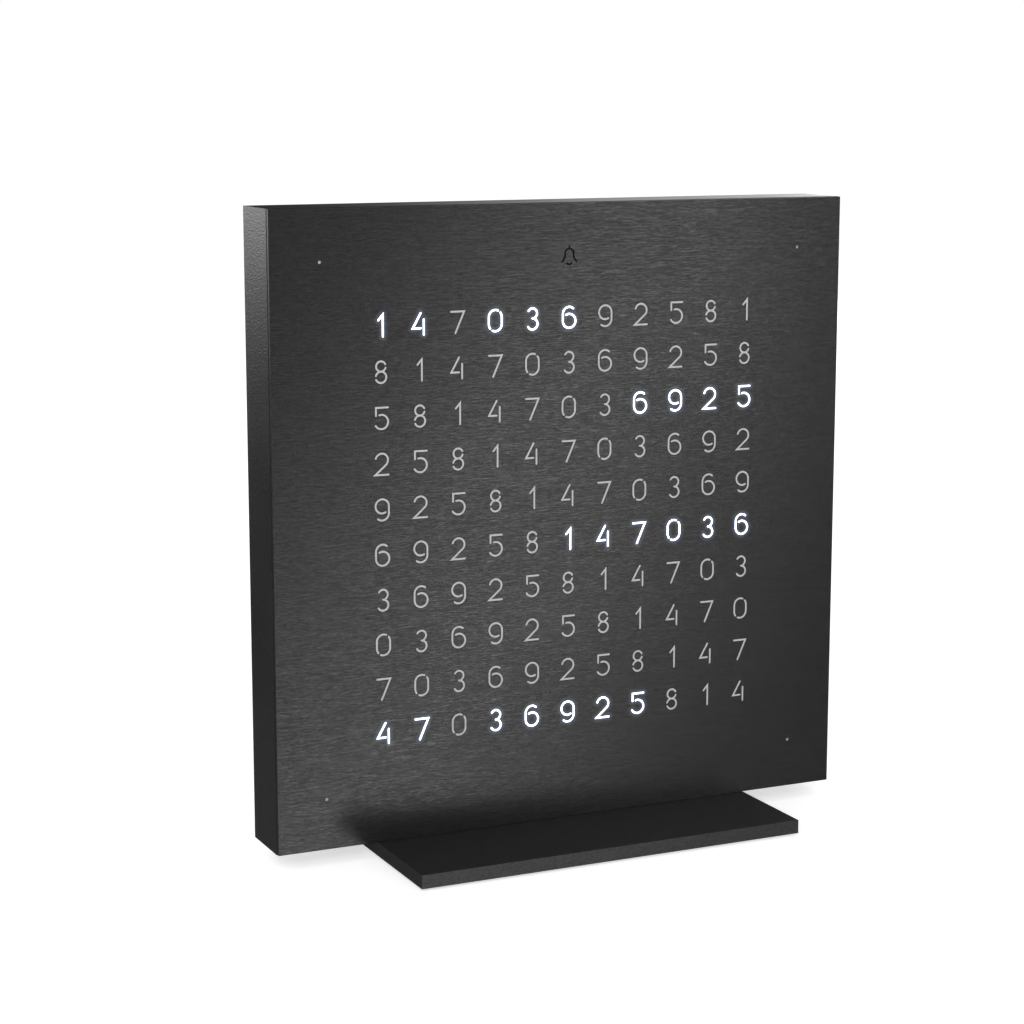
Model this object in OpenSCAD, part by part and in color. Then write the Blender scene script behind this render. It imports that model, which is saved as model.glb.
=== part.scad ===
// Word clock: a square wall of numerals behind a magnetic steel cover, on a flat foot.
// X runs to the right as seen from the front, the face looks to -Y, and Z is up.
// The origin is on the table, below the middle of the clock.

/* [Case] */
// Width of the case
case_w = 135; // [132:1:200]
// Height of the case
case_h = 135; // [132:1:200]
// Depth from the cover's face to the back panel's face
case_d = 15; // [14:0.5:24]
// Wall of the case frame
wall = 2.5; // [2:0.1:4]
// Play between the case frame and what fits inside it
fit = 0.3; // [0.2:0.05:0.6]
// Width of the lip that the inner stack rests against
lip_w = 1.2; // [0.8:0.1:2]
// Thickness of that lip
lip_t = 0.8; // [0.6:0.1:1.5]

/* [Cover] */
// Thickness of the steel front plate
plate_t = 1; // [0.8:0.1:1.5]
// How far the front plate stays inside the case's outline
cover_reveal = 0.1; // [0.05:0.05:0.5]
// Thickness of the opal sheet on the plate's back
opal_t = 1; // [0.6:0.1:1.5]
// Depth of the magnets that hold the cover
magnet_t = 2; // [1:0.5:3]
// Diameter of the magnets that hold the cover
magnet_d = 5; // [4:0.5:6]
// Metal left around each magnet
magnet_rim = 0.5; // [0.4:0.1:1]

/* [Dial] */
// Columns of numerals
columns = 11; // [8:1:11]
// Rows of numerals
rows = 10; // [6:1:10]
// Distance between columns
col_pitch = 8.6667; // [7.5:0.0001:9.2]
// Distance between rows
row_pitch = 9.63; // [8:0.01:9.9]
// How far the block of numerals sits below the middle
block_drop = 0.25; // [0:0.05:1]
// Diameter of the minute dots in the corners
dot_d = 0.7; // [0.5:0.1:1.5]
// Width of the slot that draws a numeral
stroke_w = 0.38; // [0.3:0.02:0.5]
// Width of a numeral, between the middles of its strokes
glyph_w = 3; // [2.6:0.1:3.6]
// Height of a numeral, between the middles of its strokes
glyph_h = 4.5; // [4:0.1:6]

/* [Light grid] */
// Wall between two light cells
rib = 0.8; // [0.6:0.1:1.2]
// Thickness of the grid's front web
web_t = 1; // [0.8:0.1:1.5]
// Wall around the grid's edge
skirt_t = 1.2; // [0.8:0.1:2]
// Bore of the light tube behind each minute dot
tube_bore = 3; // [2.9:0.1:3.5]
// Wall of that tube
tube_wall = 0.5; // [0.4:0.1:0.8]
// Thickness of the diffuser sheet
diffuser_t = 0.5; // [0.3:0.1:1]

/* [Electronics] */
// Thickness of the circuit board
board_t = 1.6; // [1:0.2:2]
// Space for the parts on the board's back
parts_space = 3.6; // [3.4:0.1:5]
// Side of one lamp
led_side = 2; // [1.6:0.1:2]
// Height of one lamp
led_h = 0.7; // [0.5:0.1:1]
// Diameter of the backup cell
cell_d = 12.5; // [10:0.5:16]
// Thickness of the backup cell
cell_t = 2; // [1.6:0.1:2.5]
// Diameter of the sounder
sounder_d = 9; // [8:0.5:12]
// Height of the sounder
sounder_h = 3; // [2:0.1:3.2]
// Distance from the case's side to the middle of the sounder
sounder_edge = 31.5; // [24:0.5:40]
// Distance from the case's bottom to the middle of the sounder
sounder_z = 16.5; // [12:0.5:24]

/* [Back] */
// Thickness of the back panel
panel_t = 1.5; // [1.2:0.1:2.5]
// Side of the pillars that press on the board
pillar_w = 4; // [3:0.5:6]
// Height of the controls above the case's bottom edge
controls_z = 9.5; // [8.5:0.5:14]
// Distance between the buttons
button_pitch = 10; // [8.5:0.5:14]
// Distance from the case's side to the outermost button
button_edge = 17.5; // [15:0.5:24]
// Diameter of a button's cap
button_d = 5; // [4:0.5:6]
// How far a button stands out of the panel
button_proud = 0.8; // [0.6:0.1:1.5]
// Travel of a button
button_travel = 0.5; // [0.2:0.1:0.6]
// Width of the rim that keeps a button in
button_rim = 0.7; // [0.5:0.1:1]
// Play around a button's cap in the panel
button_play = 0.2; // [0.1:0.05:0.3]
// Diameter of the back panel's screws
panel_screw_d = 2; // [1.6:0.1:2.5]

/* [Foot] */
// Width of the foot plate
foot_w = 90; // [70:1:130]
// Depth of the foot plate
foot_d = 63; // [50:1:90]
// Thickness of the foot plate
foot_t = 3; // [2.5:0.5:5]
// Distance of each foot screw from the middle
foot_screw_x = 30; // [15:1:30]
// Diameter of the foot screws
foot_screw_d = 2.5; // [2:0.1:3]
// Diameter of the rubber pads
pad_d = 8; // [6:0.5:12]
// Thickness of the rubber pads
pad_t = 1; // [0.8:0.1:1.5]
// How far the pads stand out of the foot
pad_proud = 0.5; // [0.3:0.1:0.6]
// Distance of a pad's centre from the foot's edges
pad_inset = 8; // [7:0.5:15]

/* [Hidden] */
$fn = 48;

steel = "#4b4b4e";
black_coat = "#2b2b2d";
black_plastic = "#1c1c1e";
opal = "#dcdcd6";
board_green = "#1f4a33";
part_black = "#26262a";
bright_metal = "#b9bbbe";

// Clearance around pins, magnets and screws in their holes, on the diameter
hole_play = 0.1;
// Clearance of flat parts that only face each other, and how far a cut runs past a face
face_gap = 0.1;
// Size of a countersunk head, as shares of the screw's diameter
head_share_d = 1.9;
head_share_h = 0.5;

// Depths, from the face to the back
y_face = -case_d / 2;
y_rim = y_face + plate_t;
y_opal = y_rim + opal_t;
y_lip = y_opal + fit;
y_diffuser = y_lip + lip_t;
y_grid = y_diffuser + diffuser_t;
y_back = case_d / 2;
y_panel = y_back - panel_t;
y_parts = y_panel - parts_space;
y_board = y_parts - board_t;

// Heights
z_foot = pad_proud;
z_case = z_foot + foot_t;
z_mid = z_case + case_h / 2;

// How deep the back panel's screws go into the corner posts
panel_screw_in = 6;

// Plan of the face, measured from its middle
inner_w = case_w - 2 * wall;
inner_h = case_h - 2 * wall;
magnet_inset = wall + magnet_rim + magnet_d / 2;
post_w = wall + magnet_d + 2 * magnet_rim;
notch_w = post_w + fit;
tube_d = tube_bore + 2 * tube_wall;
dot_inset = notch_w + tube_d / 2 + 2 * face_gap;
controls_y = controls_z - case_h / 2;

// Socket for the power lead
usb_w = 8.94;
usb_h = 3.26;
usb_wall = 0.3;
usb_depth = 6.9;
usb_play = 0.28;
usb_base_t = 0.6;
usb_ear_w = 1.5;
usb_ear_t = 0.6;
tongue_w = 6.69;
tongue_t = 0.7;
tongue_l = 4.9;
y_usb = y_back - face_gap - usb_depth;

// Buttons and their switches
button_names = ["mode", "alarm", "minus", "plus"];
flange_t = 0.8;
stem_d = 1.6;
stem_in = 0.6;
switch_w = 4.5;
switch_h = 1.6;
switch_bore = 2.2;
y_flange = y_panel - face_gap - flange_t;

// Places of the parts on the back of the board
controller_at = [-12, 14];
controller_w = 7;
driver_w = 9;
driver_at = [[-36, 22], [22, 36]];
chip_t = 1;
clock_chip_size = [5, 4, 1.6];
clock_chip_at = [12, -12];
crystal_size = [3.2, 1.5, 0.9];
crystal_gap = 1.5;
cell_at = [34, 6];
holder_rim = 1.5;
holder_floor = 0.8;
holder_w = cell_d + 2 * holder_rim;
sounder_at = [case_w / 2 - sounder_edge, sounder_z - case_h / 2];
sounder_hole_d = 3;
vent_d = 1.2;
vent_ring_r = 2.6;
pillar_inset = 24;

// ---- Helpers ----

// A slab of the face's plan, between two depths
module slab(y0, y1)
    translate([0, y1, z_mid]) rotate([90, 0, 0]) linear_extrude(y1 - y0) children();

// Repeats its children in the four corners, turned so that x and y point inwards
module in_corners(inset_x, inset_y)
    for (sx = [-1, 1], sy = [-1, 1])
        translate([sx * (case_w / 2 - inset_x), sy * (case_h / 2 - inset_y)]) children();

module frame_2d(w)
    difference() {
        square([case_w, case_h], center = true);
        square([case_w - 2 * w, case_h - 2 * w], center = true);
    }

// Anything that fills the frame's inside and clears its corner posts, less an inset
module sheet_2d(inset = 0)
    difference() {
        square([inner_w - 2 * (fit + inset), inner_h - 2 * (fit + inset)], center = true);
        in_corners((notch_w + inset) / 2, (notch_w + inset) / 2)
            square(notch_w + inset, center = true);
    }

function cell_place(row, col) = [
    (col - (columns - 1) / 2) * col_pitch,
    ((rows - 1) / 2 - row) * row_pitch - block_drop
];

function button_at(i) = button_edge - case_w / 2 + i * button_pitch;

module each_cell()
    for (row = [0 : rows - 1], col = [0 : columns - 1])
        translate(cell_place(row, col)) children();

module each_button()
    for (i = [0 : len(button_names) - 1]) translate([button_at(i), controls_y]) children();

module stadium_2d(w, h) {
    square([w - h, h], center = true);
    for (s = [-1, 1]) translate([s * (w - h) / 2, 0]) circle(d = h);
}

// A flat part on the back of the board
module board_part(at, size)
    slab(y_parts, y_parts + size.z) translate(at) square([size.x, size.y], center = true);

// A countersunk screw along +Z, with its head's flat at z = 0
module screw(d, length) {
    cylinder(h = head_share_h * d, d1 = head_share_d * d, d2 = d);
    cylinder(h = length, d = d);
}

// The hole for such a screw through a plate, cut past both of the plate's faces
module screw_hole(d, thickness) {
    screw(d, thickness + face_gap);
    translate([0, 0, -face_gap]) cylinder(h = face_gap, d = head_share_d * d);
}

// Turns a part that stands along +Z to point forward, from the back panel
module from_back(x, y, z) translate([x, y, z_mid + z]) rotate([90, 0, 0]) children();

// ---- Numerals ----

// Points along an arc about a centre, from one angle to the other
function arc(centre, r, start, end) =
    let (count = max(1, ceil(abs(end - start) / arc_step)))
    [for (i = [0 : count]) let (a = start + (end - start) * i / count) centre + r * [cos(a), sin(a)]];

function unit(v) = v / norm(v);

function left_of(v) = [-v.y, v.x];

// From a path's point i to the edge on its left, for a stroke of half-width 1, with mitred corners
function mitre(path, i) =
    let (
        last = len(path) - 1,
        before = left_of(unit(path[max(i, 1)] - path[max(i, 1) - 1])),
        after = left_of(unit(path[min(i, last - 1) + 1] - path[min(i, last - 1)]))
    )
    (before + after) / (1 + before * after);

// The round end of a stroke that arrives along a direction
function stroke_end(at, direction, r) =
    let (heading = atan2(direction.y, direction.x))
    [for (a = end_angles) at + r * [cos(heading + a), sin(heading + a)]];

// The outline of a path drawn with a round pen of radius r
function ribbon(path, r) =
    let (last = len(path) - 1)
    concat(
        [for (i = [0 : last]) path[i] + r * mitre(path, i)],
        stroke_end(path[last], path[last] - path[last - 1], r),
        [for (i = [last : -1 : 0]) path[i] - r * mitre(path, i)],
        stroke_end(path[0], path[0] - path[1], r)
    );

function turned(path) = [for (p = path) -p];

// Largest step along an arc, in degrees, and the points that round a stroke's end
arc_step = 24;
end_angles = [40, 0, -40];

// Half sizes of a numeral, the middle of its round ends, and the radii of its two loops
glyph_x = glyph_w / 2;
glyph_y = glyph_h / 2;
bend_y = glyph_y - glyph_x;
upper_r = 0.475 * glyph_y;
lower_r = glyph_y - upper_r;
upper = [0, glyph_y - upper_r];
lower = [0, lower_r - glyph_y];
two_r = 0.93 * glyph_x;
four_bar_y = -0.4 * glyph_y;

// Each numeral is one or two open strokes, so that no loop closes and its middle can't drop out
zero_side = concat(arc([0, bend_y], glyph_x, 65, 180), arc([0, -bend_y], glyph_x, 180, 218));
six_stroke = concat(arc([0, bend_y], glyph_x, 50, 180), arc([0, -bend_y], glyph_x, 180, 480));
numerals = [
    [zero_side, turned(zero_side)],
    [[[-glyph_x / 3, glyph_y / 2], [glyph_x / 3, glyph_y], [glyph_x / 3, -glyph_y]]],
    [concat(arc([0, glyph_y - two_r], two_r, 165, -40), [[-glyph_x, -glyph_y], [glyph_x, -glyph_y]])],
    [arc(upper, upper_r, 150, -60), arc(lower, lower_r, 90, -150)],
    [
        [[glyph_x / 5, glyph_y], [-glyph_x, four_bar_y], [glyph_x / 5, four_bar_y]],
        [[2 * glyph_x / 3, -four_bar_y], [2 * glyph_x / 3, -glyph_y]]
    ],
    [
        [[glyph_x, glyph_y], [-0.8 * glyph_x, glyph_y], [-0.8 * glyph_x, glyph_y / 4]],
        arc([0, -bend_y], glyph_x, 108, -150)
    ],
    [six_stroke],
    [[[-glyph_x, glyph_y], [glyph_x, glyph_y], [-glyph_x / 3, -glyph_y]]],
    [arc(upper, upper_r, 24, 344), arc(lower, lower_r, 164, -156)],
    [turned(six_stroke)],
];

// Neighbours along a row differ by three and along a column by seven
function numeral_in(row, col) = (7 * row + 3 * col + 1) % 10;

// ---- Cover ----

module front_plate()
    color(steel)
        slab(y_face, y_rim)
            difference() {
                square([case_w - 2 * cover_reveal, case_h - 2 * cover_reveal], center = true);
                in_corners(dot_inset, dot_inset) circle(d = dot_d);
                for (row = [0 : rows - 1], col = [0 : columns - 1])
                    translate(cell_place(row, col)) numeral_2d(numeral_in(row, col));
            }

// The slots that draw one numeral
module numeral_2d(n)
    for (path = numerals[n]) polygon(ribbon(path, stroke_w / 2));

module opal_inlay()
    color(opal) slab(y_rim, y_opal) sheet_2d();

// ---- Case ----

module body_frame()
    color(black_coat)
        difference() {
            union() {
                slab(y_rim, y_panel) {
                    frame_2d(wall);
                    in_corners(post_w / 2, post_w / 2) square(post_w, center = true);
                }
                slab(y_panel, y_back) frame_2d(wall);
                slab(y_lip, y_diffuser) frame_2d(wall + lip_w);
            }
            slab(y_rim - face_gap, y_rim + magnet_t + face_gap)
                in_corners(magnet_inset, magnet_inset) circle(d = magnet_d + hole_play);
            slab(y_panel - panel_screw_in, y_panel + face_gap)
                in_corners(magnet_inset, magnet_inset) circle(d = panel_screw_d + hole_play);
            for (s = [-1, 1])
                translate([s * foot_screw_x, 0, z_case - face_gap])
                    cylinder(h = wall + 2 * face_gap, d = foot_screw_d + hole_play);
        }

module frame_magnets()
    color(bright_metal)
        slab(y_rim, y_rim + magnet_t) in_corners(magnet_inset, magnet_inset) circle(d = magnet_d);

// ---- Light stack ----

module diffuser_sheet()
    color("white") slab(y_diffuser, y_grid) sheet_2d();

module light_grid()
    color(black_plastic)
        difference() {
            union() {
                slab(y_grid, y_grid + web_t) sheet_2d();
                slab(y_grid, y_board) {
                    translate([0, -block_drop])
                        square([columns * col_pitch + rib, rows * row_pitch + rib], center = true);
                    difference() {
                        sheet_2d();
                        sheet_2d(skirt_t);
                    }
                    in_corners(dot_inset, dot_inset) circle(d = tube_d);
                }
            }
            slab(y_grid - face_gap, y_board + face_gap) {
                each_cell() square([col_pitch - rib, row_pitch - rib], center = true);
                in_corners(dot_inset, dot_inset) circle(d = tube_bore);
            }
        }

module led_board()
    color(board_green)
        slab(y_board, y_parts)
            difference() {
                sheet_2d();
                translate([0, controls_y]) stadium_2d(usb_w + 2 * usb_play, usb_h + 2 * usb_play);
            }

module leds()
    color("#f2f0e4")
        slab(y_board - led_h, y_board) {
            each_cell() square(led_side, center = true);
            in_corners(dot_inset, dot_inset) square(led_side, center = true);
        }

// ---- Parts on the board's back ----

module controller_chip()
    color(part_black) board_part(controller_at, [controller_w, controller_w, chip_t]);

module led_drivers()
    color(part_black) for (at = driver_at) board_part(at, [driver_w, driver_w, chip_t]);

module clock_chip()
    color(part_black) board_part(clock_chip_at, clock_chip_size);

module crystal()
    color(bright_metal)
        board_part(clock_chip_at + [(clock_chip_size.x + crystal_size.x) / 2 + crystal_gap, 0], crystal_size);

// Small resistors and capacitors in two rows beside each large chip
module board_passives() {
    size = [1.6, 0.8, 0.8];
    step = 2.2;
    gap = 1.2;
    chips = [[controller_at, controller_w], for (at = driver_at) [at, driver_w]];
    color("#8d7a5c")
        for (chip = chips, side = [-1, 1], i = [-1 : 1])
            board_part(chip[0] + [i * step, side * (chip[1] / 2 + gap)], size);
}

module cell_holder()
    color(black_plastic)
        difference() {
            board_part(cell_at, [holder_w, holder_w, holder_floor + cell_t + 2 * face_gap]);
            slab(y_parts + holder_floor, y_panel)
                translate(cell_at) circle(d = cell_d + 4 * hole_play);
        }

module backup_cell()
    color(bright_metal)
        slab(y_parts + holder_floor, y_parts + holder_floor + cell_t)
            translate(cell_at) circle(d = cell_d);

module sounder()
    color(part_black)
        difference() {
            slab(y_parts, y_parts + sounder_h) translate(sounder_at) circle(d = sounder_d);
            slab(y_parts + sounder_h / 2, y_panel) translate(sounder_at) circle(d = sounder_hole_d);
        }

module tact_switches()
    color(part_black)
        difference() {
            slab(y_parts, y_parts + switch_h) each_button() square(switch_w, center = true);
            slab(y_parts + switch_h - stem_in - button_travel - face_gap, y_panel)
                each_button() circle(d = switch_bore);
        }

// ---- Power socket ----

module usb_socket()
    color(bright_metal)
        difference() {
            union() {
                slab(y_usb, y_usb + usb_depth)
                    translate([0, controls_y]) stadium_2d(usb_w, usb_h);
                slab(y_parts, y_parts + usb_ear_t)
                    translate([0, controls_y])
                        square([usb_w + 2 * usb_ear_w, usb_h / 2], center = true);
            }
            slab(y_usb + usb_base_t, y_back)
                translate([0, controls_y]) stadium_2d(usb_w - 2 * usb_wall, usb_h - 2 * usb_wall);
        }

module usb_tongue()
    color(part_black)
        slab(y_usb + usb_base_t, y_usb + usb_base_t + tongue_l)
            translate([0, controls_y]) square([tongue_w, tongue_t], center = true);

// ---- Back ----

module rear_panel()
    color(black_plastic)
        difference() {
            union() {
                slab(y_panel, y_back)
                    square([inner_w - 2 * fit, inner_h - 2 * fit], center = true);
                slab(y_parts, y_panel)
                    in_corners(pillar_inset, pillar_inset) square(pillar_w, center = true);
            }
            slab(y_panel - face_gap, y_back + face_gap) {
                translate([0, controls_y]) stadium_2d(usb_w + 2 * usb_play, usb_h + 2 * usb_play);
                each_button() circle(d = button_d + 2 * button_play);
                translate(sounder_at) {
                    circle(d = vent_d);
                    for (a = [0 : 60 : 300]) rotate(a) translate([vent_ring_r, 0]) circle(d = vent_d);
                }
            }
            for (sx = [-1, 1], sy = [-1, 1])
                from_back(sx * (case_w / 2 - magnet_inset), y_back - face_gap, sy * (case_h / 2 - magnet_inset))
                    translate([0, 0, -face_gap]) screw_hole(panel_screw_d + 2 * hole_play, panel_t);
        }

module rear_screws()
    color(bright_metal)
        for (sx = [-1, 1], sy = [-1, 1])
            from_back(sx * (case_w / 2 - magnet_inset), y_back - face_gap, sy * (case_h / 2 - magnet_inset))
                screw(panel_screw_d, panel_t - face_gap + panel_screw_in - face_gap);

// Cap, retaining rim and stem of button number i
module button(i)
    color(part_black)
        translate([button_at(i), 0, z_mid + controls_y])
            rotate([-90, 0, 0]) {
                translate([0, 0, y_flange]) cylinder(h = flange_t, d = button_d + 2 * button_rim);
                translate([0, 0, y_flange]) cylinder(h = y_back + button_proud - y_flange, d = button_d);
                translate([0, 0, y_parts + switch_h - stem_in])
                    cylinder(h = y_flange - y_parts - switch_h + stem_in, d = stem_d);
            }

module button_mode() button(0);
module button_alarm() button(1);
module button_minus() button(2);
module button_plus() button(3);

// ---- Foot ----

module foot_plate()
    color(black_coat)
        difference() {
            translate([-foot_w / 2, -foot_d / 2, z_foot]) cube([foot_w, foot_d, foot_t]);
            for (s = [-1, 1])
                translate([s * foot_screw_x, 0, z_foot])
                    screw_hole(foot_screw_d + 2 * hole_play, foot_t);
            each_pad() cylinder(h = pad_t, d = pad_d + 2 * hole_play);
        }

module foot_screws()
    color(bright_metal)
        for (s = [-1, 1])
            translate([s * foot_screw_x, 0, z_foot + face_gap])
                screw(foot_screw_d, foot_t + wall - 2 * face_gap);

module foot_pads()
    color("#151515") each_pad() cylinder(h = pad_t, d = pad_d);

module each_pad()
    for (sx = [-1, 1], sy = [-1, 1])
        translate([sx * (foot_w / 2 - pad_inset), sy * (foot_d / 2 - pad_inset), 0]) children();

// ---- Assembly ----

front_plate();
opal_inlay();
body_frame();
frame_magnets();
diffuser_sheet();
light_grid();
led_board();
leds();
controller_chip();
led_drivers();
clock_chip();
crystal();
board_passives();
cell_holder();
backup_cell();
sounder();
tact_switches();
usb_socket();
usb_tongue();
rear_panel();
rear_screws();
button_mode();
button_alarm();
button_minus();
button_plus();
foot_plate();
foot_screws();
foot_pads();
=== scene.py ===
"""Looks of the word clock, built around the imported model. Metres; X right, face towards -Y, Z up."""
import math

import bmesh
import bpy
from mathutils import Matrix, Vector


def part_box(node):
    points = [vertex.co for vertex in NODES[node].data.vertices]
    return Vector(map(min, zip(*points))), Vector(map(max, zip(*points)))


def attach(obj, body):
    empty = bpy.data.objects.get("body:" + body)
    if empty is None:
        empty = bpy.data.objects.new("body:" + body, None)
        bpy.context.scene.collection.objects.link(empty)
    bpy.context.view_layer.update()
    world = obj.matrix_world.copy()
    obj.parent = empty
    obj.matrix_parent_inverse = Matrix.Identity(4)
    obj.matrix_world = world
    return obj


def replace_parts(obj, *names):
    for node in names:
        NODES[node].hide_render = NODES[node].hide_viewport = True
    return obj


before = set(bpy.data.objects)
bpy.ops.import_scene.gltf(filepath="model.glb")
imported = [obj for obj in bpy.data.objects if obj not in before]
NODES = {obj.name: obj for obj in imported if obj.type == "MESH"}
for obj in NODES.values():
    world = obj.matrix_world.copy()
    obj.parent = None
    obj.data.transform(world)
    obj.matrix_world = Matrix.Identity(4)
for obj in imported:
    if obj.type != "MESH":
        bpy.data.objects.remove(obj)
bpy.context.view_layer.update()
MM = 0.001

# ---- Driving dimensions, in millimetres unless they say otherwise ----

COLUMNS = 11
ROWS = 10
COL_PITCH = 8.6667
ROW_PITCH = 9.63
BLOCK_DROP = 0.25            # middle of the field of numerals, below the face's middle
STROKE = 0.38                # width of a numeral's stroke
GLYPH_HALF_W = 1.5           # centre line of a stroke to the numeral's middle
GLYPH_HALF_H = 2.25
DOT_INSET = 11.0             # minute dots, from the case's edges
DOT_D = 0.7
DOT_RECESS = 0.25            # how deep the minute dots' fills lie
FILL_PROUD = 0.012           # how far the fills stand out of the steel, too little to see
FILL_DEPTH = 0.3
STROKE_STEP = 0.002          # where strokes cross, the next one lies this much deeper
FIRST_NUMERAL = 1            # top left; they run on by these steps and start again after 9
STEP_DOWN = 7
STEP_ACROSS = 3
LIT = {0: (0, 1, 3, 4, 5), 2: (7, 8, 9, 10),  # lit columns by row, from the top left
       5: (5, 6, 7, 8, 9, 10), 9: (0, 1, 3, 4, 5, 6, 7)}

BELL_DROP = 11.3             # middle of the bell sign, below the case's top edge
BELL_STROKE = 0.4
BELL_DEPTH = 0.1

HALO_REACH = 1.2             # how far the light of a lit stroke spreads on the steel,
HALO_SOFT = 0.55             # how softly,
HALO_LIGHT = 0.09            # and how brightly, where 1 is white
HALO_STEP = 0.2              # grid of the patches that carry it,
HALO_PROUD = 0.004           # how far they stand out,
HALO_DEPTH = 0.2             # and how deep they reach
FILM_STEP = 0.8              # the same for the light on the diffuser: grid,
FILM_SOFT = 12               # softness, in square millimetres,
FILM_LIGHT = 1.3             # and brightness
CELL_RIB = 0.8               # wall between two cells of the light grid

MARK_STROKE = 0.24           # of the signs on the buttons
MARK_SUNK = 0.1              # they begin this deep in the button
MARK_DEPTH = 0.12            # and are this thick, so they stand out a little
BUTTON_EDGE = 0.25           # rounded edges of the buttons and the pads,
FOOT_EDGE = 0.12             # and of the foot,
EDGE_SEGMENTS = 2
EDGE_TURN = 50               # where two faces turn by more than this, in degrees
WELD = 0.001                 # vertices this near are one, before the edges are rounded

SCREW_HEAD = (0.95, 0.5)     # radius and height of a screw's head, as shares of the screw's diameter
SCREW_CROSS = (0.52, 0.12, 0.4)  # half length, half width and depth of its cross, as such shares
CROSS_TAPER = 0.75           # width of the cross at its bottom, as a share of its top
SCREW_ROOT = 0.84            # the thread's root, as a share of its crest
SCREW_PITCH = 0.4
SCREW_SIDES = 24
PANEL_SCREW = (2, 7.4)       # diameter and length
FOOT_SCREW = (2.5, 5.4)
FOOT_SCREW_X = 30

CONTACTS = 12                # of the power socket's tongue, on each side
CONTACT_PITCH = 0.5
CONTACT_W = 0.26
CONTACT_L = 3.2
CONTACT_INSET = 0.2          # from the tongue's outer end
CONTACT_PROUD = 0.02

# ---- Camera: solved from the clock's edges in the photograph, in metres and degrees ----

CAMERA_AT = (-0.22885, -0.46942, 0.16277)
CAMERA_TILT = 80
CAMERA_TURN = -25
LENS = 85                    # millimetres
SENSOR = 36

# ---- Finishes. Patterns are in cycles per millimetre along X, Y and Z, and 1 is white ----

FINE_STREAKS = (0.9, 1, 11)  # of the brushed steel
LONG_STREAKS = (0.3, 1, 10)
LONG_SHARE = 0.4             # how much the long ones count
STEEL_CLOUDS = (0.02, 0.02, 0.03)
STEEL_GREYS = (0.041, 0.088)     # of its dull and its bright streaks
STEEL_ROUGHNESS = (0.248, 0.135)
STREAK_DEPTH = 0.02          # millimetres
COAT_CLOUDS = (0.04, 0.04, 0.04)
METAL_CLOUDS = (1.5, 1.5, 1.5)
LAMP_CLOUDS = (0.6, 0.6, 0.6)
LAMP_COLOUR = (0.72, 0.82, 1.0)
HALO_COLOUR = (0.67, 0.76, 1.0)

# ---- Studio, in metres and watts. 1 is white ----

EVEN_LIGHT = 0.6
FLOOR_HALF = 6.0
FLOOR_LIFT = 0.55            # how much of the floor's white the camera is given
CARD_AT = 1.0                # from the clock to the dark cards,
CARD_HALF = 3.0              # and from their middle to their edges
SHEEN_AT = 0.545             # the diagonal sheen: where its middle lies and how it leans,
SHEEN_LEAN = 0.6             # as slopes seen from the clock
SLIT_SIDES = (0.1, 0.062)    # how softly the front card's slit ends on the left and the right
SLIT_SHADE = 0.12            # what the front card lets through beside the slit
OPEN_HORIZON = (0.03, 0.08)  # the back card's openings, as slopes from shut to open: upwards
OPEN_LEFT = (-0.1, -0.25)    # and to the left,
OPEN_RIGHT = (0.3, 0.65)     # to the right,
OPEN_FLOOR = (-0.15, -0.35)  # downwards,
OPEN_TOP = (1.5, 2.5)        # and overhead
FLOOR_SHEEN = 0.06           # what the back card lets through from the floor
LIGHT_DEPTH = 0.9            # how far ahead the strip stands, and how far behind the back lights
STRIP_RISE = -0.27           # the strip's middle on the sheen's line, as a slope seen from the clock
STRIP = dict(size=(0.12, 0.9), power=0.68)
KEY = dict(at=(-0.6, -1.1, 0.4), target=(0, 0, 0.07), size=(0.9, 0.9), power=13)
BACK_RIGHT = dict(at=(0.91, LIGHT_DEPTH, 0.35), target=(0, 0, 0.1), size=(0.5, 0.7), power=2.5)
BACK_LEFT = dict(at=(-0.5, LIGHT_DEPTH, 0.4), target=(-0.1, 0, 0.1), size=(0.5, 0.64), power=2.2)

FACE_LO, FACE_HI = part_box("front_plate")
FACE_Y = FACE_LO.y
MID_Z = (FACE_LO.z + FACE_HI.z) / 2
CASE_LO, CASE_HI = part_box("body_frame")
HALF_CASE = (CASE_HI.x - CASE_LO.x) / 2
BUTTONS = ("button_mode", "button_alarm", "button_minus", "button_plus")
CORNERS = ((-1, -1), (-1, 1), (1, -1), (1, 1))


def make_camera():
    data = bpy.data.cameras.new("camera")
    data.lens = LENS
    data.sensor_width = SENSOR
    data.clip_start = 0.01
    camera = bpy.data.objects.new("camera", data)
    camera.location = CAMERA_AT
    camera.rotation_euler = (math.radians(CAMERA_TILT), 0, math.radians(CAMERA_TURN))
    bpy.context.scene.collection.objects.link(camera)
    bpy.context.scene.camera = camera


# ---- Node helpers ----

def new_material(name):
    material = bpy.data.materials.new(name)
    material.use_nodes = True
    tree = material.node_tree
    return material, tree, tree.nodes["Principled BSDF"]


def add(tree, kind, inputs=None, **settings):
    """A node of that kind. inputs holds its socket values or the sockets that feed them."""
    node = tree.nodes.new(kind)
    for key, value in settings.items():
        setattr(node, key, value)
    for key, value in (inputs or {}).items():
        socket = node.inputs[key]
        if isinstance(value, bpy.types.NodeSocket):
            tree.links.new(value, socket)
        else:
            socket.default_value = value
    return node


def math_node(tree, operation, *values):
    return add(tree, "ShaderNodeMath", dict(enumerate(values)), operation=operation).outputs[0]


def ramp(tree, value, start, end):
    """0 at start and 1 at end, smoothly, whichever is larger."""
    node = add(tree, "ShaderNodeMapRange", {"Value": value, "From Min": start, "From Max": end},
               interpolation_type="SMOOTHSTEP")
    return node.outputs["Result"]


def place(tree, scale):
    """Object coordinates stretched by scale, in cycles per metre along each axis."""
    coords = add(tree, "ShaderNodeTexCoord")
    node = add(tree, "ShaderNodeMapping", {"Vector": coords.outputs["Object"], "Scale": scale})
    return node.outputs["Vector"]


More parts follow.
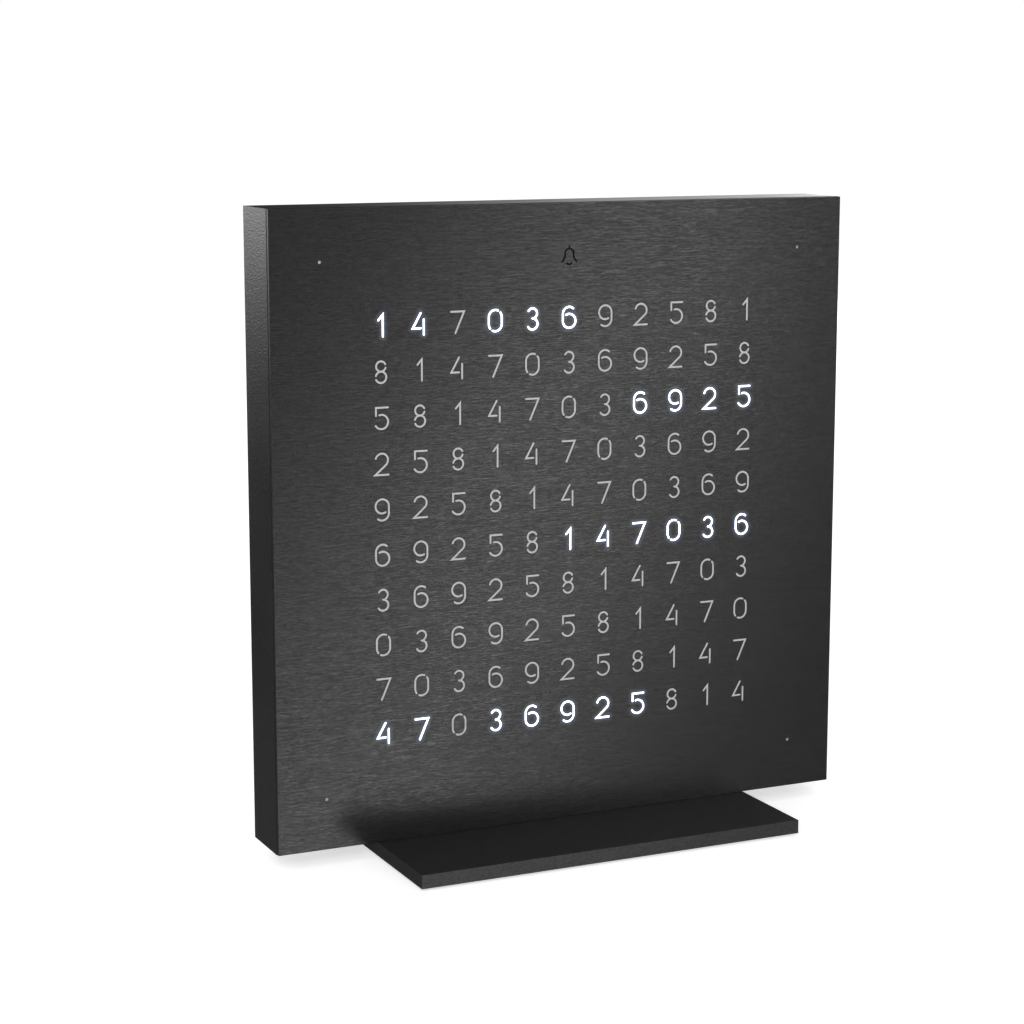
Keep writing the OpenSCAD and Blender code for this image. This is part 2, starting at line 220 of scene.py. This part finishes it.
def noise(tree, scale, detail=2.0):
    node = add(tree, "ShaderNodeTexNoise",
               {"Vector": place(tree, scale), "Scale": 1.0, "Detail": detail, "Roughness": 0.5})
    return node.outputs["Fac"]


def remap(tree, value, lo, hi, from_lo=0.3, from_hi=0.7):
    """lo where value is from_lo or less, hi where it is from_hi or more, and even between."""
    node = add(tree, "ShaderNodeMapRange", {"Value": value, "From Min": from_lo, "From Max": from_hi,
                                            "To Min": lo, "To Max": hi})
    return node.outputs["Result"]


def blend_colour(tree, factor, low, high):
    """A colour mix, whose colour sockets have these numbers."""
    node = add(tree, "ShaderNodeMix", data_type="RGBA")
    tree.links.new(factor, node.inputs[0])
    node.inputs[6].default_value = (*low, 1)
    node.inputs[7].default_value = (*high, 1)
    return node.outputs[2]


def bump(tree, shader, height, distance):
    node = add(tree, "ShaderNodeBump", {"Height": height, "Distance": distance, "Strength": 1.0})
    tree.links.new(node.outputs["Normal"], shader.inputs["Normal"])


def per_mm(x, y, z):
    return (x / MM, y / MM, z / MM)


def grey(value):
    return (value, value, value)


# ---- Materials ----

def brushed_steel(name):
    """Dark steel, brushed along X into fine streaks. Bright ones are smoother and show in a sheen."""
    material, tree, shader = new_material(name)
    fine = noise(tree, per_mm(*FINE_STREAKS), detail=1)
    longer = noise(tree, per_mm(*LONG_STREAKS), detail=1)
    cloud = noise(tree, per_mm(*STEEL_CLOUDS), detail=1)
    streaks = math_node(tree, "MULTIPLY_ADD", longer, LONG_SHARE,
                        math_node(tree, "MULTIPLY", fine, 1 - LONG_SHARE))
    dull, bright = (grey(value) for value in STEEL_GREYS)
    colour = blend_colour(tree, remap(tree, streaks, 0, 1, 0.42, 0.72), dull, bright)
    tree.links.new(colour, shader.inputs["Base Color"])
    rough = math_node(tree, "ADD", remap(tree, streaks, *STEEL_ROUGHNESS, 0.5, 0.66),
                      remap(tree, cloud, -0.015, 0.015))
    tree.links.new(rough, shader.inputs["Roughness"])
    shader.inputs["Metallic"].default_value = 0.82
    shader.inputs["Anisotropic"].default_value = 0.6
    tangent = add(tree, "ShaderNodeTangent", direction_type="RADIAL", axis="X")
    tree.links.new(tangent.outputs[0], shader.inputs["Tangent"])
    bump(tree, shader, streaks, STREAK_DEPTH * MM)
    return material


def lighten(material, colour, strength):
    """Adds a glow of that colour, which follows the mesh's own glow values."""
    tree = material.node_tree
    shader = tree.nodes["Principled BSDF"]
    spread = add(tree, "ShaderNodeAttribute", attribute_name="glow")
    tree.links.new(math_node(tree, "MULTIPLY", spread.outputs["Fac"], strength),
                   shader.inputs["Emission Strength"])
    shader.inputs["Emission Color"].default_value = (*colour, 1)
    return material


def powder_coat(name, low, high, grain=3, depth=0.04, roughness=(0.28, 0.34), gloss=0.5):
    """Satin coat with the fine orange-peel grain of baked powder. depth is in millimetres."""
    material, tree, shader = new_material(name)
    peel = noise(tree, per_mm(grain, grain, grain), detail=0)
    cloud = noise(tree, per_mm(*COAT_CLOUDS))
    tree.links.new(blend_colour(tree, remap(tree, peel, 0, 1), low, high),
                   shader.inputs["Base Color"])
    tree.links.new(remap(tree, cloud, *roughness), shader.inputs["Roughness"])
    shader.inputs["Specular IOR Level"].default_value = gloss
    bump(tree, shader, peel, depth * MM)
    return material


def plastic(name, low, high, roughness, grain=5.0, depth=0.001, gloss=0.5):
    return powder_coat(name, low, high, grain, depth, roughness, gloss)


def metal(name, colour, roughness=(0.22, 0.34)):
    material, tree, shader = new_material(name)
    cloud = noise(tree, per_mm(*METAL_CLOUDS), detail=3)
    low = tuple(0.86 * c for c in colour)
    tree.links.new(blend_colour(tree, remap(tree, cloud, 0, 1), low, colour),
                   shader.inputs["Base Color"])
    tree.links.new(remap(tree, cloud, *roughness), shader.inputs["Roughness"])
    shader.inputs["Metallic"].default_value = 1.0
    return material


def glowing(name, colour, strength):
    """A fill with a lamp behind it."""
    material, tree, shader = new_material(name)
    cloud = noise(tree, per_mm(*LAMP_CLOUDS), detail=1)
    tree.links.new(blend_colour(tree, cloud, tuple(0.94 * c for c in colour), colour),
                   shader.inputs["Emission Color"])
    shader.inputs["Emission Strength"].default_value = strength
    shader.inputs["Base Color"].default_value = (*grey(0.8), 1)
    shader.inputs["Roughness"].default_value = 0.5
    return material


def circuit_green():
    material, tree, shader = new_material("solder_mask")
    tracks = add(tree, "ShaderNodeTexBrick", {
        "Vector": place(tree, per_mm(0.5, 0.5, 0.5)), "Scale": 1.0, "Mortar Size": 0.03,
        "Color1": (0.012, 0.085, 0.04, 1), "Color2": (0.010, 0.07, 0.034, 1),
        "Mortar": (0.02, 0.14, 0.06, 1)})
    tree.links.new(tracks.outputs["Color"], shader.inputs["Base Color"])
    tree.links.new(remap(tree, noise(tree, per_mm(1, 1, 1)), 0.25, 0.35), shader.inputs["Roughness"])
    return material


FILM_LOOK = ((0.78, 0.78, 0.77), (0.84, 0.84, 0.83), (0.5, 0.6))

STEEL = brushed_steel("brushed_dark_steel")
STEEL_LIT = lighten(brushed_steel("brushed_dark_steel_lit"), HALO_COLOUR, HALO_LIGHT)
COAT = powder_coat("black_powder_coat", (0.012, 0.012, 0.0125), (0.022, 0.022, 0.0225))
# The case's black powder coat again, painted lighter for the foot: painted light against the shade the
# foot gets low by the floor.
FOOT_COAT_PAINTED_LIGHTER = powder_coat("foot_powder_coat_painted_lighter", (0.014, 0.014, 0.0145), (0.028, 0.028, 0.0285))
OPAL = plastic("opal_acrylic", (0.62, 0.62, 0.6), (0.7, 0.7, 0.68), (0.3, 0.4))
FILL = plastic("opal_fill", grey(0.36), grey(0.45), (0.35, 0.45))
FILL_LIT = glowing("opal_fill_lit", (0.62, 0.72, 1.0), 4.0)
FILM = plastic("diffuser_film", *FILM_LOOK)
FILM_LIT = lighten(plastic("diffuser_film_lit", *FILM_LOOK), LAMP_COLOUR, FILM_LIGHT)
PRINT = plastic("black_print", grey(0.003), grey(0.006), (0.5, 0.6), gloss=0.05)
BLACK = plastic("moulded_black", (0.012, 0.012, 0.013), (0.022, 0.022, 0.024), (0.45, 0.6), 3.5, 0.03)
SATIN = plastic("satin_black", (0.018, 0.018, 0.019), (0.026, 0.026, 0.028), (0.32, 0.4), depth=0.004)
CHIP = plastic("chip_black", (0.015, 0.015, 0.016), (0.03, 0.03, 0.032), (0.5, 0.6), 9, 0.004)
PALE = plastic("pale_mark", grey(0.5), grey(0.58), (0.5, 0.6))
LAMP = plastic("lamp_resin", (0.7, 0.62, 0.3), (0.8, 0.72, 0.38), (0.2, 0.3))
LAMP_LIT = glowing("lamp_resin_lit", LAMP_COLOUR, 5.0)
CERAMIC = plastic("ceramic_parts", (0.2, 0.15, 0.1), (0.32, 0.25, 0.17), (0.35, 0.5), 1.5, 0.004)
RUBBER = plastic("pad_rubber", grey(0.012), grey(0.022), (0.7, 0.8), depth=0.01)
NICKEL = metal("nickel_plate", (0.66, 0.65, 0.63))
ZINC = metal("zinc_plate", (0.55, 0.56, 0.58), (0.28, 0.4))
GOLD = metal("gold_contact", (0.8, 0.6, 0.25), (0.2, 0.3))
BOARD = circuit_green()


# ---- Stroke geometry: paths in the face's plan (x right, y up), in millimetres ----

def arc(centre, radius, start, end, step=12):
    """Points along an arc, from start to end degrees."""
    count = max(1, math.ceil(abs(end - start) / step))
    angles = [math.radians(start + (end - start) * i / count) for i in range(count + 1)]
    return [Vector((centre[0] + radius * math.cos(a), centre[1] + radius * math.sin(a)))
            for a in angles]


def line(*points):
    return [Vector(p) for p in points]


def ribbon(path, radius):
    """Outline of a path drawn with a round pen, which turns its corners with a mitre."""
    def left(v):
        return Vector((-v.y, v.x)).normalized()
    steps = [left(b - a) for a, b in zip(path, path[1:])]
    sides = []
    for i in range(len(path)):
        a, b = steps[max(i - 1, 0)], steps[min(i, len(steps) - 1)]
        sides.append((a + b) / (1 + a.dot(b)) * radius)

    def cap(end, outward):
        heading = math.degrees(math.atan2(outward.y, outward.x))
        return arc(end, radius, heading + 40, heading - 40, step=40)
    there = [p + s for p, s in zip(path, sides)]
    back = [p - s for p, s in zip(path, sides)][::-1]
    return there + cap(path[-1], path[-1] - path[-2]) + back + cap(path[0], path[0] - path[1])


def turned(path):
    return [-p for p in path]


def numeral_strokes():
    """The ten numerals, stroke by stroke as they are cut in the plate."""
    x, y = GLYPH_HALF_W, GLYPH_HALF_H
    bend = y - x
    upper_r = 0.475 * y
    lower_r = y - upper_r
    upper, lower = (0, y - upper_r), (0, lower_r - y)
    two_r = 0.93 * x
    bar = -0.4 * y
    five_x = -0.8 * x
    zero_side = arc((0, bend), x, 65, 180) + arc((0, -bend), x, 180, 218)
    six = arc((0, bend), x, 50, 180) + arc((0, -bend), x, 180, 480)
    return [
        [zero_side, turned(zero_side)],
        [line((-x / 3, y / 2), (x / 3, y), (x / 3, -y))],
        [arc((0, y - two_r), two_r, 165, -40) + line((-x, -y), (x, -y))],
        [arc(upper, upper_r, 150, -60), arc(lower, lower_r, 90, -150)],
        [line((x / 5, y), (-x, bar), (x / 5, bar)), line((2 * x / 3, -bar), (2 * x / 3, -y))],
        [line((x, y), (five_x, y), (five_x, y / 4)), arc((0, -bend), x, 108, -150)],
        [six],
        [line((-x, y), (x, y), (-x / 3, -y))],
        [arc(upper, upper_r, 24, 344), arc(lower, lower_r, 164, -156)],
        [turned(six)],
    ]


def bell_strokes():
    """A plain bell as a stencil: knob, two flared sides and clapper."""
    side = arc((0, 0.5), 1, 66, 0) + line((1.05, -0.4), (1.7, -1.25))
    knob = line((0, 1.5), (0, 2))
    clapper = arc((0, -1.25), 0.6, -150, -30)
    return [knob, side, [Vector((-p.x, p.y)) for p in side], clapper]


def button_strokes():
    """Plain signs of the four buttons: three bars, a bell, minus and plus."""
    half, apart, bell_size = 0.8, 0.65, 0.6
    bar = line((-half, 0), (half, 0))
    bars = [[p + Vector((0, y)) for p in bar] for y in (-apart, 0, apart)]
    bell = [[bell_size * p for p in stroke] for stroke in bell_strokes()]
    return dict(zip(BUTTONS, (bars, bell, [bar], [bar, line((0, -half), (0, half))])))


def prism(mesh, outline, offset, front, depth):
    """Adds a closed outline as a solid that runs from front to front + depth along Y, in metres."""
    rings = []
    for y in (front, front + depth):
        rings.append([mesh.verts.new(((p.x + offset[0]) * MM, y, (p.y + offset[1]) * MM + MID_Z))
                      for p in outline])
    mesh.faces.new(rings[0])
    mesh.faces.new(rings[1][::-1])
    count = len(outline)
    for i in range(count):
        j = (i + 1) % count
        mesh.faces.new((rings[0][i], rings[1][i], rings[1][j], rings[0][j]))


def finish_mesh(mesh, name, material, body):
    """Turns a bmesh into a piece that rides on a body."""
    bmesh.ops.recalc_face_normals(mesh, faces=mesh.faces)
    bmesh.ops.triangulate(mesh, faces=[f for f in mesh.faces if len(f.verts) > 4])
    data = bpy.data.meshes.new(name)
    mesh.to_mesh(data)
    mesh.free()
    data.materials.append(material)
    piece = bpy.data.objects.new(name, data)
    bpy.context.scene.collection.objects.link(piece)
    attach(piece, body)
    return piece


# ---- The dial ----

NUMERALS = numeral_strokes()


def numeral_at(row, col):
    """Strokes of the numeral in that cell."""
    return NUMERALS[(FIRST_NUMERAL + STEP_DOWN * row + STEP_ACROSS * col) % len(NUMERALS)]


def cell_place(row, col):
    return ((col - (COLUMNS - 1) / 2) * COL_PITCH, ((ROWS - 1) / 2 - row) * ROW_PITCH - BLOCK_DROP)


def make_dial():
    """Opal fills of the numerals, flush with the steel, in a lit and an unlit piece."""
    front = FACE_Y - FILL_PROUD * MM
    lit, unlit = bmesh.new(), bmesh.new()
    for row in range(ROWS):
        for col in range(COLUMNS):
            mesh = lit if col in LIT.get(row, ()) else unlit
            for i, stroke in enumerate(numeral_at(row, col)):
                prism(mesh, ribbon(stroke, STROKE / 2), cell_place(row, col),
                      front + i * STROKE_STEP * MM, FILL_DEPTH * MM)
    inset = HALF_CASE / MM - DOT_INSET
    dot = arc((0, 0), DOT_D / 2, 0, 345, step=15)
    for side_x, side_z in CORNERS:
        prism(unlit, dot, (side_x * inset, side_z * inset), FACE_Y + DOT_RECESS * MM, FILL_DEPTH * MM)
    finish_mesh(lit, "numerals_lit", FILL_LIT, "cover")
    finish_mesh(unlit, "numerals_unlit", FILL, "cover")


def glow_patch(mesh, middle, half, front, step, glow):
    """A flat grid that faces -Y, whose vertices hold how much they glow."""
    layer = mesh.verts.layers.float.get("glow") or mesh.verts.layers.float.new("glow")
    counts = [math.ceil(2 * h / step) for h in half]
    columns = []
    for i in range(counts[0] + 1):
        columns.append([])
        for j in range(counts[1] + 1):
            p = Vector((half[0] * (2 * i / counts[0] - 1), half[1] * (2 * j / counts[1] - 1)))
            vert = mesh.verts.new(((middle[0] + p.x) * MM, front, (middle[1] + p.y) * MM + MID_Z))
            vert[layer] = glow(p)
            columns[-1].append(vert)
    for here, there in zip(columns, columns[1:]):
        for j in range(counts[1]):
            mesh.faces.new((here[j], there[j], there[j + 1], here[j + 1]))


def thicken(mesh, depth):
    """Gives flat patches sides and a back."""
    made = bmesh.ops.extrude_edge_only(mesh, edges=[e for e in mesh.edges if e.is_boundary])
    for vert in made["geom"]:
        if isinstance(vert, bmesh.types.BMVert):
            vert.co.y += depth
    bmesh.ops.holes_fill(mesh, edges=[e for e in mesh.edges if e.is_boundary], sides=0)


def away_from(p, segments):
    """Distance from a point to the nearest of these segments."""
    def away(a, b):
        share = (p - a).dot(b - a) / (b - a).length_squared
        return (p - a.lerp(b, min(1, max(0, share)))).length
    return min(away(a, b) for a, b in segments)


def make_glow():
    """Light that spreads on the steel around the lit strokes, and behind them in the diffuser."""
    halo = bmesh.new()
    film = bmesh.new()
    reach = STROKE / 2 + HALO_REACH
    film_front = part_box("diffuser_sheet")[0].y - HALO_PROUD * MM
    cell = ((COL_PITCH - CELL_RIB) / 2, (ROW_PITCH - CELL_RIB) / 2)
    for row, cols in LIT.items():
        for col in cols:
            segments = [pair for stroke in numeral_at(row, col) for pair in zip(stroke, stroke[1:])]

            def halo_light(p):
                away = max(0, away_from(p, segments) - STROKE / 2)
                return math.exp(-(away / HALO_SOFT) ** 2)
            glow_patch(halo, cell_place(row, col), (GLYPH_HALF_W + reach, GLYPH_HALF_H + reach),
                       FACE_Y - HALO_PROUD * MM, HALO_STEP, halo_light)
            glow_patch(film, cell_place(row, col), cell, film_front, FILM_STEP,
                       lambda p: math.exp(-p.length_squared / FILM_SOFT))
    thicken(halo, HALO_DEPTH * MM)
    thicken(film, HALO_DEPTH * MM)
    finish_mesh(halo, "numerals_halo", STEEL_LIT, "cover")
    finish_mesh(film, "diffuser_glow", FILM_LIT, "root")


def mark(name, strokes, radius, middle, front, depth, material, body):
    """Strokes printed on a face, as one piece."""
    mesh = bmesh.new()
    for i, stroke in enumerate(strokes):
        prism(mesh, ribbon(stroke, radius), middle, front + i * STROKE_STEP * MM, depth)
    finish_mesh(mesh, name, material, body)


def make_bell():
    mark("bell_sign", bell_strokes(), BELL_STROKE / 2, (0, HALF_CASE / MM - BELL_DROP),
         FACE_Y - FILL_PROUD * MM, BELL_DEPTH * MM, PRINT, "cover")


# ---- Back and underside ----

def make_button_marks():
    for name, strokes in button_strokes().items():
        lo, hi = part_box(name)
        middle = ((lo.x + hi.x) / 2 / MM, ((lo.z + hi.z) / 2 - MID_Z) / MM)
        mark(name + "_mark", strokes, MARK_STROKE / 2, middle, hi.y - MARK_SUNK * MM,
             MARK_DEPTH * MM, PALE, name)


def ring(mesh, at, radius, depth):
    """A circle of vertices around the Z axis of a place, in millimetres."""
    turns = [2 * math.pi * i / SCREW_SIDES for i in range(SCREW_SIDES)]
    return [mesh.verts.new(at @ Vector((radius * math.cos(a), radius * math.sin(a), depth)) * MM)
            for a in turns]


def join_rings(mesh, a, b):
    for i in range(len(a)):
        j = (i + 1) % len(a)
        mesh.faces.new((a[i], a[j], b[j], b[i]))


def screw(mesh, at, diameter, length):
    """A countersunk screw with a cross in its head. Its head's flat lies at the place's origin."""
    head_r, head_h = (share * diameter for share in SCREW_HEAD)
    rim = ring(mesh, at, head_r, 0)
    last = rim
    steps = int((length - head_h) / SCREW_PITCH * 2)
    for i in range(steps + 1):
        radius = diameter / 2 * (1 if i % 2 == 0 else SCREW_ROOT)
        thread = ring(mesh, at, radius, head_h + i * SCREW_PITCH / 2)
        join_rings(mesh, last, thread)
        last = thread
    mesh.faces.new(last)
    long, thin, deep = (share * diameter for share in SCREW_CROSS)
    corner = [(long, thin), (thin, thin), (thin, long)]
    plus = [(sx * x, sy * y) for sx, sy, order in ((1, 1, 1), (-1, 1, -1), (-1, -1, 1), (1, -1, -1))
            for x, y in corner[::order]]
    top = [mesh.verts.new(at @ Vector((x, y, 0)) * MM) for x, y in plus]
    bottom = [mesh.verts.new(at @ Vector((CROSS_TAPER * x, CROSS_TAPER * y, deep)) * MM)
              for x, y in plus]
    join_rings(mesh, top, bottom)
    mesh.faces.new(bottom)
    loops = [mesh.edges.get((a, b)) or mesh.edges.new((a, b)) for loop in (rim, top)
             for a, b in zip(loop, loop[1:] + loop[:1])]
    bmesh.ops.triangle_fill(mesh, edges=loops, use_beauty=True)


def make_screws():
    """The CAD screws again, with threads and crosses. No two crosses point the same way."""
    lo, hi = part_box("rear_screws")
    reach_x = (hi.x - lo.x) / 2 / MM - SCREW_HEAD[0] * PANEL_SCREW[0]
    reach_z = (hi.z - lo.z) / 2 / MM - SCREW_HEAD[0] * PANEL_SCREW[0]
    mesh = bmesh.new()
    for side_x, side_z in CORNERS:
        at = Vector((side_x * reach_x, hi.y / MM, MID_Z / MM + side_z * reach_z))
        cross_turn = 0.7 * side_x + side_z   # radians
        screw(mesh, Matrix.Translation(at) @ Matrix.Rotation(math.pi / 2, 4, "X")
              @ Matrix.Rotation(cross_turn, 4, "Z"), *PANEL_SCREW)
    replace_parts(finish_mesh(mesh, "rear_screws_cross", ZINC, "root"), "rear_screws")
    lo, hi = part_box("foot_screws")
    mesh = bmesh.new()
    for side_x in (-1, 1):
        at = Vector((side_x * FOOT_SCREW_X, 0, lo.z / MM))
        screw(mesh, Matrix.Translation(at) @ Matrix.Rotation(side_x, 4, "Z"), *FOOT_SCREW)
    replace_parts(finish_mesh(mesh, "foot_screws_cross", ZINC, "root"), "foot_screws")


def make_contacts():
    """Gold strips on both sides of the power socket's tongue."""
    lo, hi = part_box("usb_tongue")
    mesh = bmesh.new()
    for i in range(CONTACTS):
        x = (i - (CONTACTS - 1) / 2) * CONTACT_PITCH
        for edge in (lo.z, hi.z):
            strip = [Vector((x + dx * CONTACT_W / 2, dz * CONTACT_PROUD))
                     for dx, dz in ((-1, -1), (1, -1), (1, 1), (-1, 1))]
            prism(mesh, strip, (0, (edge - MID_Z) / MM), hi.y - (CONTACT_INSET + CONTACT_L) * MM,
                  CONTACT_L * MM)
    finish_mesh(mesh, "usb_contacts", GOLD, "root")


# ---- Materials of the CAD nodes ----

def dress(node, *materials):
    data = NODES[node].data
    data.materials.clear()
    for material in materials:
        data.materials.append(material)


def lit_cell(centre):
    """True where a point of the assembly lies in a lit cell."""
    col = round(centre.x / MM / COL_PITCH + (COLUMNS - 1) / 2)
    row = round((ROWS - 1) / 2 - ((centre.z - MID_Z) / MM + BLOCK_DROP) / ROW_PITCH)
    return col in LIT.get(row, ())


def soften(node, width):
    """Rounds a CAD node's sharp edges with modifiers. Its mesh stays as it is."""
    weld = NODES[node].modifiers.new("weld", "WELD")
    weld.merge_threshold = WELD * MM
    bevel = NODES[node].modifiers.new("bevel", "BEVEL")
    bevel.width = width * MM
    bevel.segments = EDGE_SEGMENTS
    bevel.limit_method = "ANGLE"
    bevel.angle_limit = math.radians(EDGE_TURN)


def dress_all():
    plain = {
        # The foot wears the lighter copy of the black coat, which is painted light.
        COAT: ["body_frame"], FOOT_COAT_PAINTED_LIGHTER: ["foot_plate"],
        OPAL: ["opal_inlay"], FILM: ["diffuser_sheet"],
        BLACK: ["light_grid", "cell_holder", "rear_panel", "sounder"], BOARD: ["led_board"],
        CHIP: ["controller_chip", "led_drivers", "clock_chip", "tact_switches", "usb_tongue"],
        NICKEL: ["frame_magnets", "crystal", "backup_cell", "usb_socket"],
        CERAMIC: ["board_passives"], ZINC: ["rear_screws", "foot_screws"], RUBBER: ["foot_pads"],
        SATIN: BUTTONS,
    }
    for material, names in plain.items():
        for name in names:
            dress(name, material)
    flat = 0.9               # a face whose normal has more of Y lies flat in the dial
    dress("front_plate", COAT, STEEL)
    for face in NODES["front_plate"].data.polygons:
        face.material_index = 1 if abs(face.normal.y) > flat else 0
    dress("leds", PALE, LAMP, LAMP_LIT)
    for face in NODES["leds"].data.polygons:
        if face.normal.y < -flat:
            face.material_index = 2 if lit_cell(face.center) else 1
    for name in (*BUTTONS, "foot_pads"):
        soften(name, BUTTON_EDGE)
    soften("foot_plate", FOOT_EDGE)


# ---- Floor, lights and background ----

def make_floor():
    data = bpy.data.meshes.new("floor")
    far = FLOOR_HALF
    corners = [(-far, -far, 0), (far, -far, 0), (far, far, 0), (-far, far, 0)]
    data.from_pydata(corners, [], [(0, 1, 2, 3)])
    floor = bpy.data.objects.new("floor", data)
    bpy.context.scene.collection.objects.link(floor)
    material, tree, shader = new_material("pale_floor")
    shader.inputs["Base Color"].default_value = (*grey(0.8), 1)
    shader.inputs["Roughness"].default_value = 0.9
    shader.inputs["Specular IOR Level"].default_value = 0.1
    shader.inputs["Emission Color"].default_value = (1, 1, 1, 1)
    lift = math_node(tree, "MULTIPLY", white_ray(tree), FLOOR_LIFT)
    tree.links.new(lift, shader.inputs["Emission Strength"])
    data.materials.append(material)
    floor.visible_glossy = False
    floor.visible_shadow = False


def area_light(name, at, target, size, power, up=(0, 0, 1), mirrored=True):
    data = bpy.data.lights.new(name, "AREA")
    data.shape = "RECTANGLE"
    data.size, data.size_y = size
    data.energy = power
    light = bpy.data.objects.new(name, data)
    back = (Vector(at) - Vector(target)).normalized()
    side = Vector(up).cross(back).normalized()
    turn = Matrix((side, back.cross(side), back)).transposed()
    light.matrix_world = Matrix.LocRotScale(Vector(at), turn, None)
    light.visible_camera = False
    light.visible_glossy = mirrored
    bpy.context.scene.collection.objects.link(light)


def white_ray(tree):
    """1 for the rays that see the background itself, or see it in metal or glass."""
    path = add(tree, "ShaderNodeLightPath")
    seen = math_node(tree, "MAXIMUM", path.outputs["Is Camera Ray"], path.outputs["Is Glossy Ray"])
    return math_node(tree, "MAXIMUM", seen, path.outputs["Is Transmission Ray"])


def make_world():
    world = bpy.data.worlds.new("studio")
    bpy.context.scene.world = world
    world.use_nodes = True
    tree = world.node_tree
    background = tree.nodes["Background"]
    background.inputs["Color"].default_value = (1, 1, 1, 1)
    strength = math_node(tree, "MULTIPLY_ADD", white_ray(tree), 1 - EVEN_LIGHT, EVEN_LIGHT)
    tree.links.new(strength, background.inputs["Strength"])


def make_card(name, side, clear):
    """A black card that only the finishes mirror, with soft openings. side is -1 in front, 1 behind.

    clear(tree, across, up) gives how much passes through, by slopes seen from the clock.
    """
    data = bpy.data.meshes.new(name)
    far = CARD_HALF
    corners = [(-far, 0, -far), (far, 0, -far), (far, 0, far), (-far, 0, far)]
    data.from_pydata(corners, [], [(0, 1, 2, 3)])
    card = bpy.data.objects.new(name, data)
    card.location = (0, side * CARD_AT, 0)
    bpy.context.scene.collection.objects.link(card)
    material, tree, shader = new_material(name)
    shader.inputs["Base Color"].default_value = (*grey(0.01), 1)
    shader.inputs["Specular IOR Level"].default_value = 0
    split = add(tree, "ShaderNodeSeparateXYZ", {"Vector": place(tree, (1 / CARD_AT, 1, 1 / CARD_AT))})
    opened = clear(tree, split.outputs["X"], split.outputs["Z"])
    hole = add(tree, "ShaderNodeBsdfTransparent")
    mixed = add(tree, "ShaderNodeMixShader", {0: opened, 1: shader.outputs[0], 2: hole.outputs[0]})
    tree.links.new(mixed.outputs[0], tree.nodes["Material Output"].inputs["Surface"])
    data.materials.append(material)
    for ray in ("camera", "diffuse", "transmission", "volume_scatter", "shadow"):
        setattr(card, "visible_" + ray, False)


def front_slit(tree, across, up):
    """A leaning slit, which the brushed face mirrors as a diagonal sheen."""
    centre = math_node(tree, "MULTIPLY_ADD", up, SHEEN_LEAN, SHEEN_AT)
    offset = math_node(tree, "SUBTRACT", across, centre)
    left = math_node(tree, "DIVIDE", math_node(tree, "MINIMUM", offset, 0), SLIT_SIDES[0])
    right = math_node(tree, "DIVIDE", math_node(tree, "MAXIMUM", offset, 0), SLIT_SIDES[1])
    both = math_node(tree, "ADD", math_node(tree, "MULTIPLY", left, left),
                     math_node(tree, "MULTIPLY", right, right))
    peak = math_node(tree, "EXPONENT", math_node(tree, "MULTIPLY", both, -0.5))
    return math_node(tree, "MULTIPLY_ADD", peak, 1 - SLIT_SHADE, SLIT_SHADE)


def back_openings(tree, across, up):
    """Open above the horizon on the left, towards the right and overhead, a little to the floor."""
    left = math_node(tree, "MULTIPLY", ramp(tree, up, *OPEN_HORIZON), ramp(tree, across, *OPEN_LEFT))
    right = ramp(tree, across, *OPEN_RIGHT)
    low = math_node(tree, "MULTIPLY", ramp(tree, up, *OPEN_FLOOR), FLOOR_SHEEN)
    return math_node(tree, "MAXIMUM", math_node(tree, "MAXIMUM", left, right),
                     math_node(tree, "MAXIMUM", low, ramp(tree, up, *OPEN_TOP)))


def make_lights():
    area_light("key_left", **KEY, mirrored=False)
    x, z = LIGHT_DEPTH * (SHEEN_AT + SHEEN_LEAN * STRIP_RISE), LIGHT_DEPTH * STRIP_RISE
    area_light("strip_front", (x, -LIGHT_DEPTH, z), (x, 0, z), **STRIP, up=(SHEEN_LEAN, 0, 1))
    area_light("back_right", **BACK_RIGHT)
    area_light("back_left", **BACK_LEFT)
    make_card("front_card", -1, front_slit)
    make_card("back_card", 1, back_openings)


make_camera()
make_world()
make_floor()
make_lights()
dress_all()
make_dial()
make_glow()
make_bell()
make_button_marks()
make_screws()
make_contacts()

bpy.context.scene.view_settings.view_transform = "Standard"
